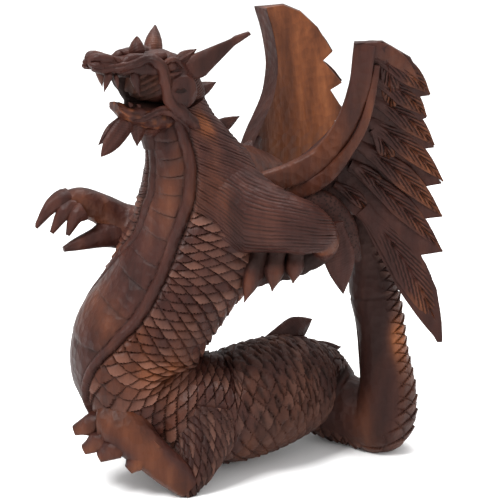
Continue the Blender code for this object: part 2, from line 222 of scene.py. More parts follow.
def blade(base, tip, width, thickness, facing, rows, sides, bulge=0.35, bend=(0, 0, 0), fall=1.7,
          butt=0.55, blunt=0.5, carve=None, joins=None):
    """A leaf, horn, tooth or feather. Up to the share bulge of its length t, the half width is
    (t / bulge)^0.4 of the full one and at least butt. From there it is 1 - s^fall, where s is the
    share of the way that is left behind, and never less than blunt."""
    base, tip, bend = (np.asarray(v, float) for v in (base, tip, bend))
    t = np.linspace(0, 1, 13)
    rise = np.maximum((t / bulge) ** 0.4, butt)
    narrow = 1 - ((np.maximum(t, bulge) - bulge) / (1 - bulge)) ** fall
    half = np.maximum(0.5 * width * np.where(t < bulge, rise, narrow), blunt)
    centre = base + t[:, None] * (tip - base) + (4 * t * (1 - t))[:, None] * bend
    sweep(np.column_stack([centre, half]), facing, rows, sides, flat=thickness / width,
          carve=carve, joins=joins)


# %% [markdown]
# ## The trunk
# Neck, belly, hindquarters and tail are one bending body. Each station gives the centre, the
# radius and the way the belly faces there, as the body turns from facing the viewer's left to
# lying on the ground and then rising as the tail.

# %% Trunk stations
TRUNK = [
    (-65, -3, 342, 25, -0.5, -0.86, 0), (-59, -1, 318, 31.5, -0.48, -0.88, 0),
    (-50, 2, 292, 39, -0.52, -0.85, 0), (-45, 6, 264, 46, -0.6, -0.8, 0),
    (-48, 9, 232, 51, -0.68, -0.73, 0), (-59, 11, 194, 56, -0.76, -0.65, 0),
    (-83, 8, 155, 55, -0.84, -0.54, 0), (-101, 5, 124, 57, -0.92, -0.38, -0.1),
    (-101, 4, 94, 55, -0.86, -0.26, -0.44), (-73, 8, 68, 49, -0.45, -0.15, -0.88),
    (-32, 18, 54, 49, 0, 0, -1), (0, 31, 57, 51, 0, 0, -1),
    (32, 58, 58, 48, 0, 0, -1), (57, 80, 51, 40, 0, 0, -1),
    (79, 75, 34, 34, 0.1, 0, -1), (99, 65, 29, 32, 0.2, 0.1, -1),
    (119, 52, 29, 31, 0.6, -0.2, -0.8), (126, 51, 57, 26, 1, -0.1, -0.3),
    (122, 57, 95, 22, 1, 0, 0), (118, 60, 125, 21.5, 1, 0, 0),
    (113, 63, 150, 22, 1, 0, 0), (110, 64, 178, 20, 1, 0, 0),
    (103, 58, 205, 18, 1, 0, 0), (97, 48, 236, 14, 1, 0, 0),
]
# The belly band: the station where it ends, its half angle in degrees at some stations, how far
# along the path its cross cuts lie, and its two rims
BELLY_END = 10.5
BELLY_EDGE = [(0, 36), (1.1, 34), (1.7, 31), (2.2, 27), (2.8, 25), (4.0, 23), (4.6, 25), (5.4, 30),
              (5.9, 37), (6.5, 42), (6.9, 44), (7.3, 38), (7.6, 30), (7.9, 20), (8.5, 12), (24, 10)]
BELLY_GROOVES = [8, 22, 35, 49, 64, 89, 117, 148, 181, 212, 240, 262, 290]
RIM_WIDTH = 10.0
RIM_HEIGHT = 4.0
FAR_RIM_HEIGHT = 1.5
# A scale: row spacing, width and height, how many rows it covers at its middle, and the power
# that rounds its free edge
SCALE_ROW = 5.0
SCALE_WIDTH = 23.0
SCALE_RISE = 3.2
SCALE_REACH = 2.15
SCALE_POWER = 1.35
# The mane: spacing of its cuts, how far it stands proud, and the station where it ends at the
# belly with the stations that this edge drops for each radian away from it
HAIR_PITCH = 2.7
MANE_LIFT = 1.6
MANE_END, MANE_SLANT = 2.33, 0.977
# Centres and radii of the large forms that flow into each other
MASSES = {
    "trunk": [row[:4] for row in TRUNK],
    "near arm": [(-52, 6, 262, 24), (-26, -8, 257, 29), (4, -23, 250, 28), (28, -28, 244, 25),
                 (50, -28, 237, 21), (63, -24, 228, 14), (62, -10, 214, 12), (44, -4, 204, 15),
                 (22, -8, 200, 17), (4, -14, 200, 15)],
    "far arm": [(-72, 30, 224, 24), (-94, 40, 217, 19), (-114, 42, 222, 18), (-131, 36, 236, 14),
                (-149, 28, 246, 13), (-162, 23, 249, 9)],
    "back": [(-40, 8, 262, 38), (-12, 30, 262, 34), (10, 46, 262, 26), (26, 52, 262, 16)],
    "ankle": [(-42, -14, 60, 32), (-43, -28, 42, 27), (-48, -42, 22, 18), (-54, -50, 8, 11),
              (-56, -52, -3, 7)],
    "foot": [(-54, -50, 8, 13), (-68, -53, 22, 15.5), (-88, -52, 40, 17), (-108, -48, 57, 20),
             (-124, -42, 63, 17), (-132, -40, 62, 12)],
    "far leg": [(-70, 34, 62, 30), (-72, 50, 42, 24), (-66, 62, 20, 16), (-62, 66, -4, 12)],
}
print("trunk stations", len(TRUNK))

# %% [markdown]
# ## Scales, belly plates and mane
# A gouge leaves each scale as a tile that rises towards its free edge and drops onto the next
# row. For every point the rule looks two rows back, takes the oldest scale that still covers
# it, and paints shadow onto the step beside that scale's edge. The belly keeps a smooth band
# with cross grooves between two raised rims, and the mane is combed in fine near-parallel cuts.

# %% Carving rules
def scales(row_at, place):
    """Height 0 to 1 of overlapping scales, and the painted shadow on the step below each free
    edge. A scale reaches over SCALE_REACH rows in its middle and one row less at its sides, and
    the oldest one over a point is seen."""
    height = np.zeros(np.broadcast_shapes(row_at.shape, place.shape))
    painted_shade = np.zeros_like(height)
    covered = np.zeros(height.shape, bool)
    for back in (2, 1, 0):
        row = np.floor(row_at) - back
        across = np.abs(2 * (np.mod(place + 0.5 * np.mod(row, 2), 1.0) - 0.5))
        reach = SCALE_REACH - across ** SCALE_POWER
        depth = row_at - row
        inside = (depth < reach) & ~covered
        height = np.where(inside, np.clip(depth / SCALE_REACH, 0, 1) * (1 - 0.3 * across ** 2),
                          height)
        # Painted shadow on the step just past a scale's free edge
        step = np.exp(-np.maximum(depth - reach, 0) / 0.22) * ~covered * ~inside
        painted_shade = np.maximum(painted_shade, step)
        covered = covered | inside
    return height, painted_shade


def hair_at(points):
    """Count of the mane's cuts. As seen from the front they fan out from the belly's rim: a
    line falls steeply if it starts low on the shoulder and gently if it starts on the neck, and
    all of them run level towards the elbow."""
    x, y, z = points[..., 0], points[..., 1], points[..., 2]
    level = z + 0.325 * y
    steep = np.interp(x, (-90, -54, -16, -4, 18, 65), (-20, 0, 31, 41, 43, 43))
    gentle = np.interp(x, (-90, -54, -16, -5, 18, 37, 65), (-12, 0, 16, 21, 30, 37, 49))
    share = smooth_step(level, 205, 295)
    return (level + steep + share * (gentle - steep) + 1.3 * ripple(0.07 * x, 0.09 * z)
            + 0.5 * ripple(0.02 * x, 0.9 * z)) / HAIR_PITCH


def mane_relief(points):
    """Depth and strength of the combed cuts, which come and go along their length."""
    hair = hair_at(points)
    strength = np.clip(0.65 + 0.7 * ripple(0.13 * points[..., 0], 1.9 * hair), 0.1, 1.2)
    return -0.7 * strength * cut_line(hair, 1.0), hair, strength


def trunk_rule(t, along, turn, points, radius):
    """Belly band, rims, mane and scales on the trunk, and how far each reaches."""
    edge = np.radians(np.interp(t, *np.array(BELLY_EDGE).T))
    away = radius * (np.abs(turn) - edge)
    belly = np.clip(BELLY_END - t, 0, 1)
    rim_height = np.where(turn > 0, RIM_HEIGHT, FAR_RIM_HEIGHT)
    rim = np.where(np.abs(away) < RIM_WIDTH / 2, np.cos(math.pi * away / RIM_WIDTH), 0)
    seam = hump(away, 0.6 * RIM_WIDTH, 1.3)
    inner = hump(away, -0.52 * RIM_WIDTH, 1.0)
    lift = (rim_height * rim - 1.8 * seam - 0.8 * inner) * belly
    # Plates between cross cuts that start at the near rim and fade out towards the far one
    inside = smooth_step(-away, RIM_WIDTH / 2, RIM_WIDTH / 2 + 1) * belly
    bent = along + 3.0 * (turn / edge) ** 2 - 2.5 * turn / edge
    grooves = np.array(BELLY_GROOVES, float)
    number = np.clip(np.searchsorted(grooves, bent) - 1, 0, len(grooves) - 2)
    share = (bent - grooves[number]) / (grooves[number + 1] - grooves[number])
    gap = bent[..., None] - grooves
    gap = np.take_along_axis(gap, np.abs(gap).argmin(-1)[..., None], -1)[..., 0]
    reaches = smooth_step(turn / edge, -0.6, 0.1) * (0.8 + 0.4 * ripple(3 * turn, 0.11 * along))
    groove = np.exp(-np.abs(gap) / np.where(gap > 0, 2.6, 0.8)) * reaches
    lift = lift + inside * (0.6 * np.clip(share, 0, 1) - 1.5 * groove)
    outside = smooth_step(away, RIM_WIDTH / 2, RIM_WIDTH / 2 + 1.5) * belly + (1 - belly)
    # The mane covers neck and shoulder down to a slanting edge that overhangs the scales
    lower = MANE_END + MANE_SLANT * np.abs(turn) + 0.04 * ripple(7 * turn, 0.1 * along)
    mane = smooth_step(lower - t, -0.02, 0.02) * outside
    # overhang: a dip just below the mane's edge, darkened with painted shadow
    overhang = np.exp(-np.clip(t - lower, 0, 9) / 0.07) * (1 - mane) * outside
    cuts, hair, strong = mane_relief(points)
    lift = lift + mane * (MANE_LIFT + cuts) - 0.8 * overhang
    # Scales, lower and rougher on the hindquarters, and only on the outer edge of the tail
    row = along / SCALE_ROW + 0.35 * ripple(3 * turn, 0.04 * along) + 0 * turn
    column = turn * radius / SCALE_WIDTH + 0 * along
    tile, step = scales(row, column)
    tail = smooth_step(t, 13.2, 13.6)
    haunch = smooth_step(t, 9, 11) * (1 - tail)
    scaled = outside * (1 - mane) * (1 - tail * (1 - smooth_step(np.cos(turn), 0.25, 0.7)))
    scaled = np.clip(scaled * (1 - 0.3 * haunch) * (0.85 + 0.35 * ripple(4 * turn, 0.07 * along)), 0, 1)
    lift = lift + scaled * SCALE_RISE * (tile - 0.5 * step)
    hacked = haunch * smooth_step(ripple(1.1 * along + 2 * turn, 7 * turn), 0.15, 0.45)
    hacked = hacked * smooth_step(-np.cos(turn), -0.5, 0.2)
    hacked = hacked * (0.6 + 0.4 * smooth_step(t, 9.5, 11.5))
    # The tail comes out from behind the haunch
    past = smooth_step(t, 13.3, 13.6) * (1 - smooth_step(t, 15, 17)) * np.maximum(np.sin(turn), 0)
    crease = hump(t, 13.5, 0.14) * smooth_step(np.sin(turn), -0.2, 0.3)
    collar = hump(t, 19.95, 0.06)
    lift = lift - 5.0 * past - 2.0 * crease - 0.8 * collar - 2.2 * hacked
    lift = lift + tail * (1 - scaled) * 0.8 * ripple(2.6 * turn, 0.05 * along)
    # cut: painted shade in the seam beside each rim, the grooves, under the mane's edge, in the
    # creases, the collar and the hack marks; the haunch and the tail are darker all over
    cut = np.clip(0.9 * seam * belly + 0.45 * inner * belly + 0.8 * inside * groove + 0.8 * overhang
                  + 0.8 * crease + 0.2 * collar + 0.9 * hacked + 0.5 * haunch + 0.45 * tail, 0, 1)
    # warm: orange patches, of which the one on the tail's side is a painted highlight
    warm = 1.3 * hump(t, 18.4, 0.6) * hump(turn, 0.8, 0.4)
    warm = warm + 0.7 * hump(t, 7.3, 0.7) * hump(turn, 1.75, 0.35)
    warm = warm + 1.2 * hump(t, 0.75, 0.5) * hump(turn, 1.35, 0.24)
    warm = warm + 0.16 * inside + 0.2 * scaled * smooth_step(t, 4, 6)
    cut = cut * (1 - np.clip(warm, 0, 1))
    return lift, {"cut": cut, "warm": np.clip(warm, 0, 1), "comb": hair, "combed": mane * strong,
                  "row": row, "column": column, "scaled": scaled}


# Rows are closer together in the neck and mane, where the cuts are finest
sweep(TRUNK, UP, rows=900, sides=280, carve=trunk_rule, ease=1.12,
      joins={"near arm": 42, "back": 26, "far arm": 18, "ankle": 16, "foot": 8, "far leg": 18})
print("trunk points", len(SHELLS[-1][0]))

# %% [markdown]
# ## The head
# The head has its own frame: forward along the snout, left towards the viewer, and up. The
# skull carries the roof of the mouth, the upper jaw ends in a raised nose, and one lip ridge
# arches over the eye tooth and drops as a strap behind the mouth to the throat.

# %% Head frame and jaws
HEAD = np.array((-62.0, -6.0, 362.0))
FORWARD = np.array((-0.8, -0.6, 0.0))
LEFT = np.array((0.6, -0.8, 0.0))


def in_head(f, l, u):
    """A point given forward, left and up of the middle of the head."""
    return HEAD + f * FORWARD + l * LEFT + u * UP


def head_limb(side, rows, *args, **options):
    """A limb through (forward, left, up, radius) rows, on the side that the sign names."""
    sweep([(*in_head(f, side * l, u), r) for f, l, u, r in rows], *args, **options)


def head_leaf(base, tip, *shape, **options):
    """A blade between two points of the head."""
    blade(in_head(*base), in_head(*tip), *shape, **options)


def jaw(stations, carve, rows, sides=56):
    """A loft of (forward, up, half width, half height) stations with upright oval sections."""
    t = np.linspace(0, len(stations) - 1, rows)
    path = through(stations, t)
    turn = np.linspace(-math.pi, math.pi, sides, endpoint=False)
    f, u, w, h = (path[:, k:k + 1] for k in range(4))
    l_at, u_at = w * np.sin(turn), u + h * np.cos(turn)
    lift, marks = carve(f, turn[None, :], l_at, u_at)
    grow = 1 + lift / np.maximum(w, 4)
    l_at, u_at = w * grow * np.sin(turn), u + h * grow * np.cos(turn)
    points = HEAD + f[..., None] * FORWARD + l_at[..., None] * LEFT + u_at[..., None] * UP
    add_shell(points, marks)


def mouth_roof(f, turn, l_at, u_at):
    """The front of the skull is the throat, cut in, ridged and darkened with painted shade; the crown
    is combed.
    """
    throat = smooth_step(f, 27, 33)
    crown = smooth_step(-f, -6, 6) * smooth_step(np.abs(turn), 0.2, 0.5)
    hair = (u_at + 0.4 * f) / HAIR_PITCH
    folds = cut_line(u_at + 0.5 * f, 6.5)
    lift = -2.5 * throat * folds - 0.5 * crown * cut_line(hair, 1.0)
    # Painted shade deep in the throat and in its folds
    painted_shade = throat * (0.35 + 0.4 * folds + 0.5 * smooth_step(-u_at, -4, 6))
    return lift, {"cut": np.clip(painted_shade, 0, 1), "warm": 0.35 * throat, "comb": hair, "combed": crown}


jaw([(-21, -11, 12, 10), (-13, -5, 18, 17), (-2, 2, 22, 21), (14, 6, 22, 23), (28, 8, 19, 21),
     (40, 9, 16, 19), (49, 10, 12, 14)], mouth_roof, 90, 90)


def snout_rule(f, turn, l_at, u_at):
    """Wrinkles across the bridge of the nose and a ridged palate, both darkened with painted shade."""
    top = smooth_step(np.cos(turn), 0.1, 0.7)
    wrinkle = hump(f, 62, 2.6) + 0.8 * hump(f, 46, 2.0) + 0.5 * hump(f, 33, 1.6)
    palate = smooth_step(-np.cos(turn), 0.3, 0.7) * smooth_step(-f, -84, -72)
    ridges = palate * 0.6 * np.cos(2 * math.pi * f / 5)
    rough = 0.7 * ripple(0.45 * f, 4 * turn)
    # Painted shade in the wrinkles and over the palate
    painted_shade = np.clip(0.7 * top * wrinkle + 0.9 * palate, 0, 1)
    return rough - 1.8 * top * wrinkle + ridges, {"cut": painted_shade}


jaw([(12, 16, 20, 14), (30, 18, 19, 12), (44, 20, 16, 10), (58, 21, 13, 8.5),
     (70, 24, 11, 9), (79, 27, 10, 8.5), (85, 29, 8, 6), (88, 29, 4, 3)], snout_rule, 110)


def tongue_side(f, turn, l_at, u_at):
    """The upper side of the lower jaw is hollowed behind the lip, with painted shade in the hollow
    and in notches along the lip, and its rough ridges warmed orange as a painted highlight.
    """
    floor = smooth_step(np.cos(turn), 0.35, 0.8) * smooth_step(-f, -61, -52)
    rough = ripple(0.5 * f, 7 * turn)
    notch = hump(np.cos(turn), 0.1, 0.16) * smooth_step(rough, -0.2, 0.3)
    lift = -3.5 * floor + 1.2 * rough * (1 - floor) - 1.6 * notch
    # Painted highlight: the rough ridges are warmed orange
    warm = np.clip(1.1 * rough, 0, 1) * (1 - floor)
    return lift, {"cut": np.clip(floor + 0.8 * notch, 0, 1), "warm": warm}


jaw([(-8, -24, 18, 14), (10, -26, 19, 14), (28, -24, 18, 13), (44, -20, 15, 11),
     (56, -17, 12, 8), (64, -12, 8, 4)], tongue_side, 80)


def in_shade(t, along, turn, points, radius):
    """Wood that light hardly reaches: left rough, and coloured with painted shade."""
    return 0.6 * ripple(0.5 * along, 3 * turn), {"cut": 1.0}


# A dark wall across the far side of the open mouth, coloured with painted shade
head_limb(1, [(52, -12, 14, 8), (46, -13, 4, 8), (38, -13, -8, 8), (36, -12, -18, 8)], TO_CAMERA,
          50, 30, carve=in_shade)
sweep([(*in_head(30, 0, -26), 12), (-84, -10, 326, 12), (-79, -10, 308, 10)], TO_CAMERA, 40, 40,
      joins={"trunk": 12})
print("jaws made, forms so far", len(SHELLS))

# %% [markdown]
# ## Cheeks, lips, eyes and teeth
# Each side of the head has the same parts, mirrored by the sign of the left direction. The
# cheek is a flat disc whose chip in the middle is a thin patch in painted shade, and the eye a
# ball under a long brow. The teeth are short horns left standing when the mouth was hollowed.

# %% Both sides of the head
def cheek_rule(t, along, turn, points, radius):
    """Knife facets round the rim of the disc, whose face is flat."""
    return 0.4 * ripple(0.4 * along, 3 * turn) * (radius > 12), {}


def strap_rule(t, along, turn, points, radius):
    """One long knife groove along the outside of the strap, darkened with painted shade."""
    groove = hump(turn, 0.5, 0.35)
    return -1.0 * groove + 0.8 * ripple(0.4 * along, 3 * turn), {"cut": 0.6 * groove}


NEAR_TEETH = [((73, 8, 20), (78.5, 8, 4), 9), ((68, 9, 17), (66, 10, 5), 6),
              ((52, 12, 17), (46, 12, -3), 9), ((42, 11, 15), (36, 8, 1), 7)]
FAR_TEETH = [((73, -8, 20), (70, -8, 4), 9), ((52, -12, 17), (46, -12, -4), 9)]
for base, tip, width in NEAR_TEETH + FAR_TEETH:
    facing = FORWARD if base[0] > 60 else LEFT
    head_leaf(base, tip, width, 0.7 * width, facing, 22, 16, bulge=0.15)
for side in (1, -1):
    head_limb(side, [(10, 14, -2, 16), (10, 20, -3, 15.5), (10, 24, -3, 14), (10, 25.5, -3, 11),
                     (10, 26.5, -3, 6), (10, 27, -3, 1)], UP, 60, 84, carve=cheek_rule)
    # The chip knocked out of the disc: a thin patch just proud of it, coloured with painted shade
    head_limb(side, [(20, 26.9, -1, 0.6), (17, 27.3, -0.4, 1.7), (15, 27.4, -1.4, 1.1),
                     (12, 27.3, -0.8, 1.8), (9, 27, -1.6, 0.6)],
              LEFT, 40, 14, flat=0.25, carve=in_shade)
    # Lip ridge that arches over the eye tooth and drops as the strap behind the mouth
    head_limb(side, [(88, 5, 25, 2), (84, 8, 24, 3), (64, 11, 23, 4), (52, 14, 25, 4), (39, 17, 28, 4),
                     (29, 20, 20, 5), (25, 21, 2, 5), (21, 22, -11, 5.5), (11, 25, -21, 5.5),
                     (-1, 24, -33, 5), (-14, 20, -41, 4), (-26, 14, -44, 2)],
              LEFT, 150, 28, carve=strap_rule)
    # Fold along the underside of the jaw that runs back beside the strap
    head_limb(side, [(52, 9, -24, 1.5), (42, 14, -22, 3), (28, 19, -17, 3.6), (14, 22, -24, 4),
                     (2, 22, -38, 3.4), (-10, 18, -46, 2)], LEFT, 90, 22, carve=strap_rule)
    # Eye ball in its lids, and the brow over it
    head_limb(side, [(20, 14, 20, 5), (19, 19, 20, 5.5), (18.5, 22, 20, 3.5), (18.5, 23.2, 20, 0.8)],
              UP, 26, 28)
    head_limb(side, [(28, 18, 19, 1.5), (24, 21, 25, 2.2), (16, 22, 25, 2.2), (8, 21, 17, 1.2)],
              LEFT, 40, 14)
    head_limb(side, [(27, 19, 15, 1.2), (20, 22, 13, 1.8), (11, 22, 14, 1.2)], LEFT, 30, 14)
    head_limb(side, [(22, 13, 27, 5), (38, 14, 28, 4), (52, 9, 29, 4), (58, 8, 26, 3), (61, 8, 24, 1)],
              UP, 70, 22)
    # Nostril with its flared rim
    head_limb(side, [(66, 6, 28, 3), (74, 7, 31, 4), (82, 6, 32.5, 4), (88, 3, 31.5, 2)], UP, 40, 24)
    head_limb(side, [(80, 8, 25, 3.2), (85, 8, 27, 3.2), (89, 4, 28, 1.6)], UP, 24, 20)
    head_leaf((60, side * 7, 25), (70, side * 9, 33), 8, 5, FORWARD, 18, 16)
for f, u, length in ((52, -12, 4), (44, -14, 3)):
    head_leaf((f, 8, u), (f + 3, 9, u + length), 5, 3.5, LEFT, 12, 10, bulge=0.1)
print("teeth", len(NEAR_TEETH) + len(FAR_TEETH), "forms so far", len(SHELLS))

# %% [markdown]
# ## Ears, crest and beard
# Leaf shapes crown the head. The near ear sweeps to the right, the far one goes straight
# back, so it looks short from the front. A beard of two pointed leaves hangs from the chin.

# %% Leaves of the head
def leaf_rule(t, along, turn, points, radius):
    """A shallow knife-cut ridge down the middle of the leaf, and a few long cuts beside it, darkened
    with painted shade.
    """
    across = np.sin(turn)
    ridge = hump(across, 0, 0.22)
    vein = hump(np.abs(across), 0.5, 0.1)
    fine = along / 2.4 + 2 * across
    return 0.7 * ridge - 0.5 * vein, {"comb": fine, "combed": 0.15, "cut": 0.4 * vein}


def ear_rule(t, along, turn, points, radius):
    """The ear is hollowed along its face, with raised rims and painted shade in the hollow."""
    hollow = smooth_step(-np.cos(turn), 0.3, 0.8) * smooth_step(t, 1.5, 3)
    hollow = hollow * smooth_step(-t, -10.5, -8)
    return -0.2 * radius * hollow, {"cut": 0.5 * hollow}


blade((-58, -18, 369), (-1, -12, 407), 22, 13, (0.3, 0.9, 0.2), 70, 36, bulge=0.24, fall=1.0,
      carve=ear_rule, blunt=3.6)
blade((-64, -20, 381), (-45, -14, 392), 11, 8, TO_CAMERA, 36, 24, bulge=0.4, carve=leaf_rule)
blade((-84, 2, 372), (-82, 37, 402), 20, 16, (0.9, -0.2, 0.2), 50, 32, bulge=0.45, carve=leaf_rule)
head_leaf((40, 0, 26), (40, 0, 45), 16, 13, FORWARD, 34, 24, carve=leaf_rule)
head_leaf((40, -6, 27), (53, -8, 33), 13, 9, UP, 30, 22)
head_leaf((-16, 0, -12), (-41, 0, -6), 15, 8, UP + LEFT, 36, 22, bulge=0.2, carve=leaf_rule)
head_leaf((46, 3, -20), (80, 3, -52), 18, 9, LEFT, 60, 32, bulge=0.35, fall=3.2, carve=leaf_rule)
head_leaf((48, -5, -22), (77, -5, -44), 12, 8, LEFT, 50, 26, bulge=0.5, carve=leaf_rule)
head_leaf((41, 2, -26), (43, 2, -49), 17, 9, LEFT, 34, 22, bulge=0.2, carve=leaf_rule)
blade((-34, 20, 311), (-9, 30, 323), 16, 8, (0.6, -0.8, 0), 36, 22, bulge=0.25, carve=leaf_rule)
print("forms so far", len(SHELLS))

# %% [markdown]
# ## Arms
# The far arm reaches forward, palm down, with three curved claws and a thumb. The near arm is
# wrapped in the combed mane down to its elbow, turns back, and hangs its claws in the hollow.

# %% Arms
def combed_arm(t, along, turn, points, radius):
    """The mane's cuts run on over the shoulder and stop before the elbow. The forearm that turns
    back under the elbow gets painted shade, and its folds too.
    """
    mane = smooth_step(-t, -5.0, -4.6)
    cuts, hair, strong = mane_relief(points)
    # Painted shade on the forearm that hangs under the elbow
    painted_shade = smooth_step(t, 5.5, 6.2) * (0.95 - 0.6 * smooth_step(t, 7.6, 8.6))
    folds = smooth_step(t, 6.5, 7) * cut_line(points[..., 0] + 0.3 * points[..., 2], 14.0)
    warm = 0.5 * hump(t, 5.2, 0.4)
    return mane * (MANE_LIFT + cuts) - 1.5 * folds, {
        "comb": hair, "combed": mane * strong, "warm": warm, "cut": np.clip(painted_shade + 0.5 * folds, 0, 1)}


def shoulder_rule(t, along, turn, points, radius):
    """The same cuts over the shoulder."""
    cuts, hair, strong = mane_relief(points)
    return MANE_LIFT + cuts, {"comb": hair, "combed": strong}


def paw_rule(t, along, turn, points, radius):
    """Bony fingers: a ridge down each one, and painted shade between them and under the elbow."""
    side = smooth_step(np.abs(np.sin(turn)), 0.6, 1.0)
    under = 0.8 * smooth_step(-t, -6.5, -3.5)
    # Painted shade between the fingers and under the elbow
    marks = {"warm": 0.2 * (1 - side), "cut": np.maximum(0.7 * side, under)}
    return 1.2 * hump(turn, 0, 0.5) - 1.0 * side, marks


def smooth_arm(t, along, turn, points, radius):
    """Long flat knife facets and a bare worn patch on the wrist."""
    return 0.5 * ripple(3 * turn, 0.06 * along), {"warm": 0.25 + 0.2 * np.sin(turn)}


sweep(MASSES["far arm"], TO_CAMERA, 110, 60, carve=smooth_arm, joins={"trunk": 18})
for knuckle, tip in (((-160, 24, 250), (-188, 8, 228)), ((-154, 20, 243), (-174, 8, 223)),
                     ((-147, 16, 240), (-160, 8, 221))):
    middle = (0.55 * knuckle[0] + 0.45 * tip[0], 0.5 * (knuckle[1] + tip[1]), knuckle[2] - 3)
    sweep([(*knuckle, 8), (*middle, 7), (*tip, 2)], TO_CAMERA, 44, 28, joins={"far arm": 8})
sweep([(-112, 38, 214, 14), (-132, 26, 214, 10), (-152, 14, 211, 6), (-164, 8, 208, 2.5)], TO_CAMERA,
      60, 30, joins={"far arm": 10})
# The shoulder carries the mane from the neck to the arm without a dip between them
sweep([(-54, 2, 306, 25), (-44, 1, 292, 27), (-33, -1, 277, 27), (-20, -6, 264, 23),
       (-8, -12, 256, 16)], UP, 150, 110, carve=shoulder_rule, joins={"trunk": 26, "near arm": 22})
sweep(MASSES["near arm"], (0, -0.3, 1), 330, 130, carve=combed_arm, joins={"trunk": 38, "back": 16})
for knuckle, tip in (((10, -22, 219), (-5, -33, 173)), ((24, -25, 220), (19, -33, 183)),
                     ((40, -21, 219), (37, -29, 189))):
    blade(knuckle, tip, 19, 15, TO_CAMERA, 60, 32, bulge=0.5, butt=0.85, carve=paw_rule,
          joins={"near arm": 8})
blade((74, -2, 236), (82, -2, 170), 28, 9, TO_CAMERA, 60, 32, bulge=0.45, carve=leaf_rule)

# %% [markdown]
# ## Hind feet
# Each foot is one smooth form with a ridge over the instep, and the near ankle is wrapped in
# a tuft of long pointed locks that runs down to the heel.

# %% Legs and feet
# Spacing of the rows of locks, and the width of a lock
LOCK_ROW = 9.5
LOCK_WIDTH = 7.0


def tuft_rule(t, along, turn, points, radius):
    """Long pointed locks that hang over each other as narrow scales do, in rows along a
    direction that slants down to the right."""
    arc = radius * turn
    row = (along + 0.45 * arc) / LOCK_ROW + 0.3 * ripple(0.15 * arc, 0.15 * along)
    column = (arc - 0.45 * along) / LOCK_WIDTH + 0.15 * ripple(0.2 * along, 0.2 * arc)
    tile, step = scales(row, column)
    marks = {"row": row, "column": column, "scaled": 0.95, "cut": 0.35}
    return 2.2 * (tile - 0.5) - 1.2 * step, marks


def instep_rule(t, along, turn, points, radius):
    """A soft ridge along the top of the foot and a warm worn surface."""
    warm = 0.3 + 0.25 * ripple(2 * turn, 0.05 * along)
    return 1.8 * hump(turn, 0.5, 0.35), {"warm": warm}


sweep(MASSES["ankle"], TO_CAMERA, 110, 110, flat=0.8, carve=tuft_rule, joins={"trunk": 14})
sweep(MASSES["foot"], TO_CAMERA, 120, 72, flat=0.75, carve=instep_rule, joins={"trunk": 8})
for knuckle, tip in (((-122, -36, 68), (-155, -34, 54)), ((-116, -46, 58), (-146, -44, 40)),
                     ((-108, -54, 52), (-132, -54, 37)), ((-82, -53, 52), (-106, -58, 27))):
    middle = [0.45 * a + 0.55 * b for a, b in zip(knuckle, tip)]
    sweep([(*knuckle, 6.5), (*middle, 8.5), (*tip, 4.5)], TO_CAMERA, 40, 30, carve=instep_rule,
          joins={"foot": 8})
sweep(MASSES["far leg"], -TO_CAMERA, 60, 48, carve=tuft_rule, joins={"trunk": 14})
sweep([(-60, 66, 6, 11), (-78, 66, 12, 15), (-98, 62, 14, 14), (-112, 60, 10, 9)],
      -TO_CAMERA, 60, 40, flat=0.8)
for spread in (-11, 0, 11):
    sweep([(-100, 62 + 0.6 * spread, 12, 8), (-114, 61 + spread, 9, 6),
           (-124, 60 + 1.2 * spread, 4, 3)], -TO_CAMERA, 24, 18)
print("forms so far", len(SHELLS))

# %% [markdown]
# ## Wings
# Each wing is a sheet that is plain and smooth inside, has a thick rounded leading edge, and
# carries feathers on its outer face. The viewer sees the near wing's feathers and the far
# wing's bare inner face, where the orange heartwood shows beside a dark bevel.

# %% Wing sheets
# Half thickness of a sheet away from its leading edge, and the length over which it thins
WING_EDGE = 2.45
EDGE_FADE = 16
# Height, leading edge and trailing edge: the pairs of close rows are the teeth
NEAR_ROWS = [(396, 88, 112), (380, 88, 137), (345, 86, 155), (343, 85, 139), (324, 78, 153),
             (321, 76, 144), (296, 54, 161), (294, 52, 147), (268, 22, 164), (262, 26, 169),
             (258, 40, 147), (246, 74, 158), (232, 97, 170), (229, 98, 145), (200, 112, 171),
             (197, 114, 152), (165, 131, 167), (135, 152, 172), (117, 168, 173)]
FAR_ROWS = [(402, 4, 30), (394, 7, 46), (378, 11, 62), (355, 14, 76), (348, 14, 67),
            (326, 10, 85), (321, 8, 74), (297, -5, 89), (293, -8, 78), (268, -16, 92),
            (264, -14, 78), (240, -4, 92), (236, 0, 76), (206, 26, 90), (196, 50, 84)]


def near_wing_depth(x, z):
    """How far back the near wing's sheet lies: its upper front corner comes forward."""
    return (32 - 0.30 * np.maximum(z - 270, 0) * (1 - (x - 85) / 180)
            - 0.06 * np.maximum(270 - z, 0))


def far_wing_depth(x, z):
    """How far back the far wing's sheet lies: it runs away from the near one."""
    return 75 + 0.25 * np.maximum(z - 287, 0) + 0.62 * (x + 14)


def wing_levels(rows, step=1.3):
    """Heights between the lowest and highest row, with the two edges' x at each. The leading
    edge is the mean of the rows over 18 mm, so that it curves."""
    rows = np.asarray(rows, float)[::-1]
    levels = np.arange(rows[0, 0], rows[-1, 0], step)
    levels = levels[np.abs(levels[:, None] - rows[:, 0]).min(1) > 0.4 * step]
    levels = np.unique(np.concatenate([levels, rows[:, 0]]))
    around = np.clip(levels[:, None] + np.arange(-9, 10), rows[0, 0], rows[-1, 0])
    lead = np.interp(around, rows[:, 0], rows[:, 1]).mean(1)
    missed = [rows[0, 1] - lead[0], rows[-1, 1] - lead[-1]]
    lead = lead + np.interp(levels, rows[[0, -1], 0], missed)
    return levels, lead, np.interp(levels, rows[:, 0], rows[:, 2])


def plain_face(x, z):
    """The face that carries the far wing's feathers, stained dark."""
    return {"warm": 0.15 + 0.1 * ripple(0.05 * x, 0.03 * z), "cut": 0.3 + 0 * x}


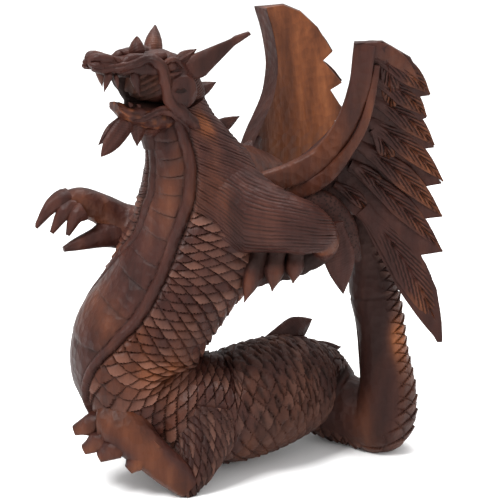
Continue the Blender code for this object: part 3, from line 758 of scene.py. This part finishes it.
def wing_sheet(rows, depth, edge, bevel, marks, behind=None, columns=60):
    """A slab between a front and a back face: each level is a section from the leading to the
    trailing edge, whose half thickness falls from edge to WING_EDGE as exp(-distance /
    EDGE_FADE). marks gives the finish of the front face, and behind that of the back one."""
    levels, lead, trail = (v[:, None] for v in wing_levels(rows))
    share = np.linspace(0, 1, columns)[None, :]
    z = levels + 0 * share
    x_front = lead + bevel + (trail - lead - bevel) * share
    x_back = lead + (trail - lead) * share
    half_front = WING_EDGE + (edge - WING_EDGE) * np.exp(-(x_front - lead - bevel) / EDGE_FADE)
    half_back = WING_EDGE + (edge - WING_EDGE) * np.exp(-(x_back - lead) / EDGE_FADE)
    front_marks, back_marks = marks(x_front, z), (behind or marks)(x_back, z)
    knife = front_marks.pop("relief", 0 * z)
    front = np.stack([x_front, depth(x_front, z) - half_front - knife, z], -1)
    back = np.stack([x_back, depth(x_back, z) + half_back, z], -1)
    ring = np.concatenate([back, front[:, ::-1]], axis=1)
    add_shell(ring, {name: np.concatenate([back_marks[name], front_marks[name][:, ::-1]], axis=1)
                     for name in back_marks})


# How far the bevel's dark face stands in front of the sheet
BEVEL_PROUD = 0.5


def bevel_strip(rows, depth, edge, bevel, columns=10):
    """The dark cut face between the back corner of the leading edge and its front corner."""
    levels, lead, _ = (v[:, None] for v in wing_levels(rows))
    share = np.linspace(0, 1, columns)[None, :]
    x = lead + bevel * share
    y = depth(lead, levels) + (edge + 0.2) * (1 - 2 * share) - BEVEL_PROUD
    face = np.stack([x - 0.3, y, levels + 0 * share], -1)
    inside = np.stack([lead + bevel, depth(lead, levels) + 0.5 * edge, levels], -1)
    add_shell(np.concatenate([face, inside], axis=1), {"cut": 0.3})


def near_face(x, z):
    """Brown wood, with a pecked patch at the root under the ridges."""
    pecked = smooth_step(hump(x, 66, 20) * hump(z, 257, 13), 0.3, 0.6)
    warm = 0.1 * ripple(0.03 * x, 0.02 * z)
    return {"warm": warm, "stipple": pecked, "cut": 0.3 + 0.2 * pecked}


def far_face(x, z):
    """Orange heartwood in upright streaks, brightest towards the feathered edge."""
    streak = ripple(0.33 * x + 0.03 * z, 0.012 * z)
    light = smooth_step(x + 0.25 * (z - 300), 20, 62)
    low = smooth_step(z, 250, 330)
    warm = np.clip(0.55 + 0.6 * light * (0.4 + 0.6 * low) + 0.25 * streak, 0, 1)
    return {"warm": warm, "cut": 0 * x, "relief": 0.35 * streak}


wing_sheet(NEAR_ROWS, near_wing_depth, 5, 0, near_face)
wing_sheet(FAR_ROWS, far_wing_depth, 8, 11, far_face, plain_face, columns=90)
bevel_strip(FAR_ROWS, far_wing_depth, 8, 11)

# %% [markdown]
# ## Feathers
# A feather is a long blade with a raised shaft, a smooth rim and fine barbs cut between them.
# The outer row overhangs the sheet's edge as teeth, tilted like shingles, and smooth coverts
# lie over its roots.

# %% Feather blades
# Root and tip of each feather, across and up, and for the coverts their width and lift too
NEAR_FEATHERS = [((104, 384), (155, 346)), ((106, 362), (153, 325)), ((104, 344), (161, 298)),
                 ((98, 326), (170, 264)), ((92, 302), (170, 232)), ((88, 280), (171, 200)),
                 ((100, 240), (173, 119))]
FAR_FEATHERS = [((24, 380), (76, 355)), ((26, 352), (85, 327)), ((20, 328), (89, 298)),
                ((12, 304), (92, 268)), ((6, 280), (92, 240)), ((6, 262), (90, 206))]
COVERTS = [((112, 392), (121, 322), 17, 1.0), ((106, 316), (123, 276), 17, 2.0),
           ((88, 282), (120, 249), 16, 1.5), ((74, 262), (106, 234), 13, 0.5)]
FEATHER_DEPTH = 7.0
ROOT_STAND = 0.5 * FEATHER_DEPTH
TIP_STAND = 0.2 * FEATHER_DEPTH
BARB_PITCH = 3.1
BARB_SLOPE = math.radians(15)


def feather_rule(t, along, turn, points, radius):
    """Barbs run outwards from the shaft at BARB_SLOPE to it, up to a smooth rim: their count is the
    distance square to them over BARB_PITCH. Painted shade fills the groove inside the rim and the
    sides where feathers overlap, the root end is darker, and the tip is warmed orange as a
    painted highlight."""
    across = radius * np.sin(turn)
    share = np.abs(np.sin(turn))
    barbs = (np.abs(across) * math.cos(BARB_SLOPE) - along * math.sin(BARB_SLOPE)) / BARB_PITCH
    shaft = hump(across, 0, 0.8)
    field = (1 - smooth_step(share, 0.80, 0.86)) * (1 - shaft) * smooth_step(t, 1.5, 3.5)
    border = hump(share, 0.83, 0.05)
    lift = 0.5 * shaft - field * (0.4 + 1.0 * cut_line(barbs, 1.0)) - 0.5 * border
    # side: painted shade along the edges where the feathers overlap
    side = smooth_step(share, 0.93, 1.0)
    # Painted highlight: warmer orange towards the tip
    warm = 0.65 * smooth_step(t, 4, 10) * (0.7 + 0.5 * ripple(across, 0.1 * along))
    return lift, {"comb": barbs, "combed": 1.35 * field, "warm": np.clip(warm, 0, 1),
                  "cut": np.clip(0.4 * border + 0.9 * side + 0.25 * smooth_step(-t, -5, -1), 0, 1)}


def feather(depth, outside, root, tip, width, lift, bend, thickness=FEATHER_DEPTH, rows=90, sides=44):
    """One feather laid on the outer face of a wing: its root stands off the sheet by ROOT_STAND
    and lift, its tip by TIP_STAND and lift."""
    (x0, z0), (x1, z1) = root, tip
    base = (x0, depth(x0, z0) + outside * (ROOT_STAND + lift), z0)
    point = (x1, depth(x1, z1) + outside * (TIP_STAND + lift), z1)
    facing = (0, -1, 0.35) if outside < 0 else (-0.62, 1, -0.1)
    blade(base, point, width, thickness, facing, rows, sides, bulge=0.5, bend=bend,
          carve=feather_rule)


for root, tip in NEAR_FEATHERS[:-1]:
    feather(near_wing_depth, -1, root, tip, 21, 0.0, (2, 0, 4))
feather(near_wing_depth, -1, *NEAR_FEATHERS[-1], 31, 0.0, (5, 0, 5))
for root, tip, width, lift in COVERTS:
    feather(near_wing_depth, -1, root, tip, width, lift, (3, 0, 2), rows=60, sides=30)
for (root, tip), width in zip(FAR_FEATHERS, (18, 18, 18, 18, 18, 28)):
    feather(far_wing_depth, 1, root, tip, width, 3.6, (2, 0, 4), 5.0, rows=50, sides=26)

# %% [markdown]
# ## Leading edges and the back
# Two smooth ridges run along the near wing's front edge with a groove between them, and low
# humps of wood join both wings to the shoulders.

# %% Ridges and roots
def ridge_rule(t, along, turn, points, radius):
    """Smooth worn wood with faint long facets. The section is squared: its corners stand out
    by the fourth-power norm of the circle."""
    square = (np.cos(turn) ** 4 + np.sin(turn) ** 4) ** -0.25 - 1
    lift = 0.8 * radius * square + 0.3 * ripple(4 * turn, 0.03 * along)
    return lift, {"warm": 0.22 + 0.1 * np.cos(turn)}


def pecked_rule(t, along, turn, points, radius):
    """Dark wood under the feathers' roots, pecked with a point."""
    return 0.4 * ripple(3 * turn, 0.1 * along), {"stipple": 1.0, "cut": 0.4}


def root_rule(t, along, turn, points, radius):
    """The smooth saddle between the two wings."""
    return 0.3 * ripple(4 * turn, 0.03 * along), {"warm": 0.25}


sweep([(-22, 8, 266, 8), (2, 3, 269, 9), (20, 9, 271, 10), (42, 15, 277, 11), (65, 14, 293, 10),
       (83, 5, 323, 9.5), (93, -1, 356, 9.5), (96, -4, 384, 9.5), (97, -4, 394, 9.5)], TO_CAMERA,
      170, 44, flat=0.55, carve=ridge_rule)
sweep([(-10, 18, 248, 9), (20, 16, 254, 9), (46, 17, 261, 8), (68, 12, 275, 6.5), (86, 4, 300, 4.5),
       (97, -1, 322, 4), (104, -3, 350, 3.5), (108, -4, 376, 2.5)], TO_CAMERA, 140, 34, flat=0.7,
      carve=ridge_rule)
# The smooth cap along the near wing's upper edge
sweep([(90, -5.4, 388, 8), (108, -2, 389, 7.5), (124, 3, 380, 7), (136, 8, 367, 5), (144, 12, 356, 2)],
      TO_CAMERA, 70, 36, flat=0.5, carve=ridge_rule)
sweep([(-14, 58, 258, 12), (-4, 72, 276, 9), (8, 84, 290, 3)], TO_CAMERA, 60, 40, carve=root_rule,
      joins={"back": 16})
sweep(MASSES["back"], UP, 90, 90, carve=root_rule, joins={"near arm": 30, "trunk": 26})
sweep([(-20, 34, 258, 26), (-8, 58, 266, 20), (-2, 72, 276, 12)], UP, 50, 44, carve=root_rule,
      joins={"back": 20})
sweep([(10, 40, 258, 16), (34, 37, 255, 13), (56, 31, 249, 10)], UP, 50, 44, carve=root_rule,
      joins={"back": 20})
sweep([(40, 24, 250, 14), (62, 20, 244, 15), (78, 22, 228, 14), (88, 26, 206, 10), (96, 30, 190, 4)],
      TO_CAMERA, 70, 44, flat=0.6, carve=pecked_rule)
blade((-6, 52, 84), (58, 93, 112), 30, 12, (0.6, -0.8, 0), 60, 32, bulge=0.7, carve=leaf_rule)
blade((48, 84, 80), (86, 104, 80), 22, 9, (0.6, -0.8, 0), 50, 28, bulge=0.35, carve=leaf_rule)
print("forms", len(SHELLS), "triangles before thinning", sum(len(s[1]) for s in SHELLS))

# %% [markdown]
# ## Joining the forms
# All the grids go into one mesh, with the base cut level where the figure touches the ground.
# The grids are denser than the triangle budget, so a Decimate modifier thins them: it takes
# triangles from smooth wood first and keeps them where the carving is sharp.

# %% One carving
def join_shells(name):
    """All shells as one mesh object in metres, with one float attribute for each mark."""
    offsets = np.cumsum([0] + [len(s[0]) for s in SHELLS[:-1]])
    points = np.vstack([s[0] for s in SHELLS])
    points[:, 2] = np.maximum(points[:, 2], 0.0)
    points = (points + SHIFT) * MM
    faces = np.vstack([s[1] + o for s, o in zip(SHELLS, offsets)]).astype(np.int32)
    mesh = bpy.data.meshes.new(name)
    mesh.vertices.add(len(points))
    mesh.vertices.foreach_set("co", points.astype(np.float32).ravel())
    mesh.loops.add(faces.size)
    mesh.loops.foreach_set("vertex_index", faces.ravel())
    mesh.polygons.add(len(faces))
    mesh.polygons.foreach_set("loop_start", np.arange(0, faces.size, 3, dtype=np.int32))
    for mark in MARKS:
        values = np.concatenate([s[2][mark] for s in SHELLS]).astype(np.float32)
        mesh.attributes.new(mark, "FLOAT", "POINT").data.foreach_set("value", values)
    mesh.update(calc_edges=True)
    mesh.validate()
    piece = bpy.data.objects.new(name, mesh)
    bpy.context.collection.objects.link(piece)
    return piece


def thin(piece, budget):
    """The piece's mesh with its triangle count brought down to the budget, and its outermost
    points kept within the block that the solid fills."""
    decimate = piece.modifiers.new("thin", "DECIMATE")
    decimate.ratio = min(1.0, budget / len(piece.data.polygons))
    bpy.context.view_layer.update()
    graph = bpy.context.evaluated_depsgraph_get()
    mesh = bpy.data.meshes.new_from_object(piece.evaluated_get(graph))
    piece.modifiers.clear()
    points = np.empty(3 * len(mesh.vertices))
    mesh.vertices.foreach_get("co", points)
    points = np.clip(points.reshape(-1, 3), *CAD_BOX)
    mesh.vertices.foreach_set("co", points.ravel())
    piece.data = mesh
    mesh.shade_smooth()
    mesh.set_sharp_from_angle(angle=SHARP_ANGLE)
    print(piece.name, "triangles", sum(len(p.vertices) - 2 for p in mesh.polygons),
          "attributes", [a.name for a in mesh.attributes if a.name in MARKS])


dragon = join_shells("dragon_carving")
thin(dragon, TRIANGLE_BUDGET)

# %% [markdown]
# ## Stained and waxed hardwood
# The wood is a dark reddish brown stain over orange heartwood. Its grain runs up the block,
# so the pattern is noise stretched along Z in Object coordinates. Recesses get painted shade,
# the free edges of scales a painted highlight, and the comb attribute draws the finest cuts as
# bump and painted shade.

# %% Wood material
# Colours in linear light: stops through the grain for stained and for bare wood, then the pores,
# the painted shade in recesses, which also darkens some whole faces, and the painted highlight on
# the free edge of a scale
STAINED = ((0.30, (0.017, 0.005, 0.004)), (0.52, (0.036, 0.011, 0.008)),
           (0.72, (0.062, 0.021, 0.014)))
HEARTWOOD = ((0.30, (0.080, 0.023, 0.008)), (0.55, (0.200, 0.060, 0.019)),
             (0.75, (0.330, 0.112, 0.038)))
PORES = (0.030, 0.010, 0.007)
RECESS_SHADE_AND_STAIN = (0.008, 0.003, 0.002)
SCALE_HIGHLIGHT = (0.165, 0.075, 0.052)
BUMP_STRENGTH = 0.6
BUMP_DISTANCE = 0.0009
SPECULAR = 0.14


def carved_wood():
    """Dark stained hardwood driven by Object coordinates and the carving's own marks."""
    material = bpy.data.materials.new("carved_wood_finish")
    material.use_nodes = True
    nodes, links = material.node_tree.nodes, material.node_tree.links
    shader = nodes["Principled BSDF"]
    place = nodes.new("ShaderNodeTexCoord").outputs["Object"]

    def mark(name):
        """The value of one mark of the carving."""
        node = nodes.new("ShaderNodeAttribute")
        node.attribute_name = name
        return node.outputs["Fac"]

    def noise(scale, detail, stretch):
        """Noise in Object coordinates, with a frequency along Z that is stretch of the others'."""
        mapping = nodes.new("ShaderNodeMapping")
        mapping.inputs["Scale"].default_value = (1.0, 1.0, stretch)
        links.new(place, mapping.inputs["Vector"])
        node = nodes.new("ShaderNodeTexNoise")
        for name, value in (("Scale", scale), ("Detail", detail), ("Roughness", 0.55)):
            node.inputs[name].default_value = value
        links.new(mapping.outputs["Vector"], node.inputs["Vector"])
        return node.outputs["Fac"]

    def dips(scale):
        """Distance to the nearest of scattered points: a field of shallow round dips."""
        node = nodes.new("ShaderNodeTexVoronoi")
        node.inputs["Scale"].default_value = scale
        links.new(place, node.inputs["Vector"])
        return node.outputs["Distance"]

    def maths(operation, a, b=0.0, clamp=False):
        """One Math node on a and b, each a number or another node's output."""
        node = nodes.new("ShaderNodeMath")
        node.operation = operation
        node.use_clamp = clamp
        for socket, value in zip(node.inputs, (a, b)):
            if isinstance(value, (int, float)):
                socket.default_value = value
            else:
                links.new(value, socket)
        return node.outputs[0]

    def plus(a, b, clamp=False):
        """a + b, and between 0 and 1 if clamp says so."""
        return maths("ADD", a, b, clamp)

    def minus(a, b, clamp=False):
        """a - b."""
        return maths("SUBTRACT", a, b, clamp)

    def times(a, b, clamp=False):
        """a times b."""
        return maths("MULTIPLY", a, b, clamp)

    def larger(a, b, clamp=False):
        """The larger of a and b."""
        return maths("MAXIMUM", a, b, clamp)

    def ramp(value, stops):
        """A colour ramp through (position, colour) stops."""
        node = nodes.new("ShaderNodeValToRGB")
        elements = node.color_ramp.elements
        while len(elements) < len(stops):
            elements.new(0.5)
        for element, (position, colour) in zip(elements, stops):
            element.position = position
            element.color = (*colour, 1.0)
        links.new(value, node.inputs["Fac"])
        return node.outputs["Color"]

    def mix(factor, a, b):
        """Colour a blended to colour b by factor."""
        node = nodes.new("ShaderNodeMix")
        node.data_type = "RGBA"
        links.new(factor, node.inputs["Factor"])
        for socket, value in ((node.inputs[6], a), (node.inputs[7], b)):
            if isinstance(value, tuple):
                socket.default_value = (*value, 1.0)
            else:
                links.new(value, socket)
        return node.outputs[2]

    # Wood: stain over heartwood that shows where it is rubbed bare and where the warm mark paints a
    # highlight, with dark pores
    grain, fine, cloud = noise(60, 6, 0.10), noise(420, 4, 0.06), noise(14, 3, 0.5)
    bare = plus(mark("warm"), times(minus(cloud, 0.58), 1.4), clamp=True)
    colour = mix(bare, ramp(grain, STAINED), ramp(grain, HEARTWOOD))
    colour = mix(times(fine, 0.30), colour, PORES)
    # Combed cuts, one for each whole count, and the pecks of a point
    comb_wave = maths("ABSOLUTE", maths("COSINE", times(mark("comb"), math.pi)))
    comb_cut = times(maths("POWER", comb_wave, 4.0), mark("combed"))
    pecks = times(maths("LESS_THAN", dips(420), 0.35), mark("stipple"))
    # Scales: the rows over each point in turn, the oldest first, by the rule that carved them
    scaled, row_at, tile, step, tone, covered = mark("scaled"), mark("row"), 0.0, 0.0, 0.0, 0.0
    for back in (2, 1, 0):
        row = minus(maths("FLOOR", row_at), back)
        spot = plus(mark("column"), times(maths("FLOORED_MODULO", row, 2.0), 0.5))
        across = maths("ABSOLUTE", minus(times(maths("FRACT", spot), 2.0), 1.0))
        reach = minus(SCALE_REACH, maths("POWER", across, SCALE_POWER))
        depth = minus(row_at, row)
        free = minus(1.0, covered)
        inside = times(maths("LESS_THAN", depth, reach), free)
        behind = maths("EXPONENT", times(minus(reach, depth), 5.0))
        # Painted shadow on the step just past the free edge of the scale in front
        step = larger(step, times(minus(free, inside), behind), clamp=True)
        number = nodes.new("ShaderNodeCombineXYZ")
        links.new(row, number.inputs["X"])
        links.new(maths("FLOOR", spot), number.inputs["Y"])
        own = nodes.new("ShaderNodeTexWhiteNoise")
        own.noise_dimensions = "2D"
        links.new(number.outputs["Vector"], own.inputs["Vector"])
        tone = plus(tone, times(inside, own.outputs["Value"]))
        tile = plus(tile, times(inside, times(depth, 0.46)))
        covered = plus(covered, inside)
    tile = times(minus(tile, times(step, 0.3)), scaled)
    # Painted highlight on a scale's raised free edge, stronger on some scales than others
    painted_highlight = times(times(tone, tone), times(tile, 0.9), clamp=True)
    colour = mix(painted_highlight, colour, SCALE_HIGHLIGHT)
    # Painted shade darkens every recess, which is rougher too
    recess = larger(mark("cut"), larger(times(comb_cut, 0.75), pecks))
    recess = larger(recess, times(step, scaled))
    links.new(mix(times(recess, 0.85), colour, RECESS_SHADE_AND_STAIN), shader.inputs["Base Color"])
    gloss = plus(times(fine, 0.22), times(recess, 0.25))
    links.new(plus(gloss, 0.34, clamp=True), shader.inputs["Roughness"])
    facets = times(dips(130), minus(1.0, mark("combed"), clamp=True))
    height = plus(plus(times(fine, 0.8), times(facets, 2.0)), times(tile, 2.8))
    height = minus(height, larger(times(comb_cut, 1.4), pecks))
    bump = nodes.new("ShaderNodeBump")
    bump.inputs["Strength"].default_value = BUMP_STRENGTH
    bump.inputs["Distance"].default_value = BUMP_DISTANCE
    links.new(height, bump.inputs["Height"])
    links.new(bump.outputs["Normal"], shader.inputs["Normal"])
    shader.inputs["Specular IOR Level"].default_value = SPECULAR
    return material


dragon.data.materials.clear()
dragon.data.materials.append(carved_wood())
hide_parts("dragon")
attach(dragon, "root")

# %% [markdown]
# ## Floor, light and camera
# The photograph has a white ground and soft light from the upper left, so the floor is a pale
# sweep and large lamps stand above and beside it.

# %% Stage
# In metres: the floor's radius, and its distance below the figure
FLOOR_RADIUS = 6
FLOOR_GAP = 0.0004


def pale_floor():
    """A large pale disc just under the figure."""
    turn = np.linspace(0, 2 * math.pi, 96, endpoint=False)
    rim = np.column_stack([FLOOR_RADIUS * np.cos(turn), FLOOR_RADIUS * np.sin(turn),
                           np.full(96, -FLOOR_GAP)])
    mesh = bpy.data.meshes.new("floor")
    mesh.from_pydata(rim.tolist(), [], [list(range(96))])
    floor = bpy.data.objects.new("floor", mesh)
    bpy.context.collection.objects.link(floor)
    material = bpy.data.materials.new("floor_paper")
    material.use_nodes = True
    shader = material.node_tree.nodes["Principled BSDF"]
    shader.inputs["Base Color"].default_value = (0.92, 0.92, 0.92, 1)
    shader.inputs["Roughness"].default_value = 0.9
    mesh.materials.append(material)
    return floor


LAMP_AIM = Vector((0, 0, 0.2))


def soft_lamp(name, place, size, power):
    """A square area lamp at place, turned to the middle of the figure."""
    lamp = bpy.data.objects.new(name, bpy.data.lights.new(name, "AREA"))
    lamp.data.size = size
    lamp.data.energy = power
    lamp.location = place
    lamp.rotation_euler = (LAMP_AIM - Vector(place)).to_track_quat("-Z", "Y").to_euler()
    bpy.context.collection.objects.link(lamp)


pale_floor()
soft_lamp("key", (-1.0, -0.9, 1.7), 0.6, 44)
soft_lamp("fill", (1.5, -1.4, 0.9), 1.2, 8)
soft_lamp("top", (0.2, 0.5, 2.0), 1.0, 34)
world = bpy.data.worlds.new("studio")
world.use_nodes = True
sky = world.node_tree.nodes["Background"].inputs
sky["Color"].default_value = (1, 1, 1, 1)
sky["Strength"].default_value = 1.0
bpy.context.scene.world = world
bpy.context.scene.view_settings.view_transform = "Standard"

# %% Camera
CAMERA_DISTANCE = 1.75
CAMERA_TILT = math.radians(18)
CAMERA_LENS = 144
AIM = Vector((SHIFT[0] * MM, SHIFT[1] * MM, 210 * MM))
camera = bpy.data.objects.new("camera", bpy.data.cameras.new("camera"))
camera.data.lens = CAMERA_LENS
camera.data.sensor_width = 36
to_viewer = Vector((0, -math.cos(CAMERA_TILT), math.sin(CAMERA_TILT)))
camera.location = AIM + to_viewer * CAMERA_DISTANCE
camera.rotation_euler = (-to_viewer).to_track_quat("-Z", "Y").to_euler()
bpy.context.collection.objects.link(camera)
bpy.context.scene.camera = camera
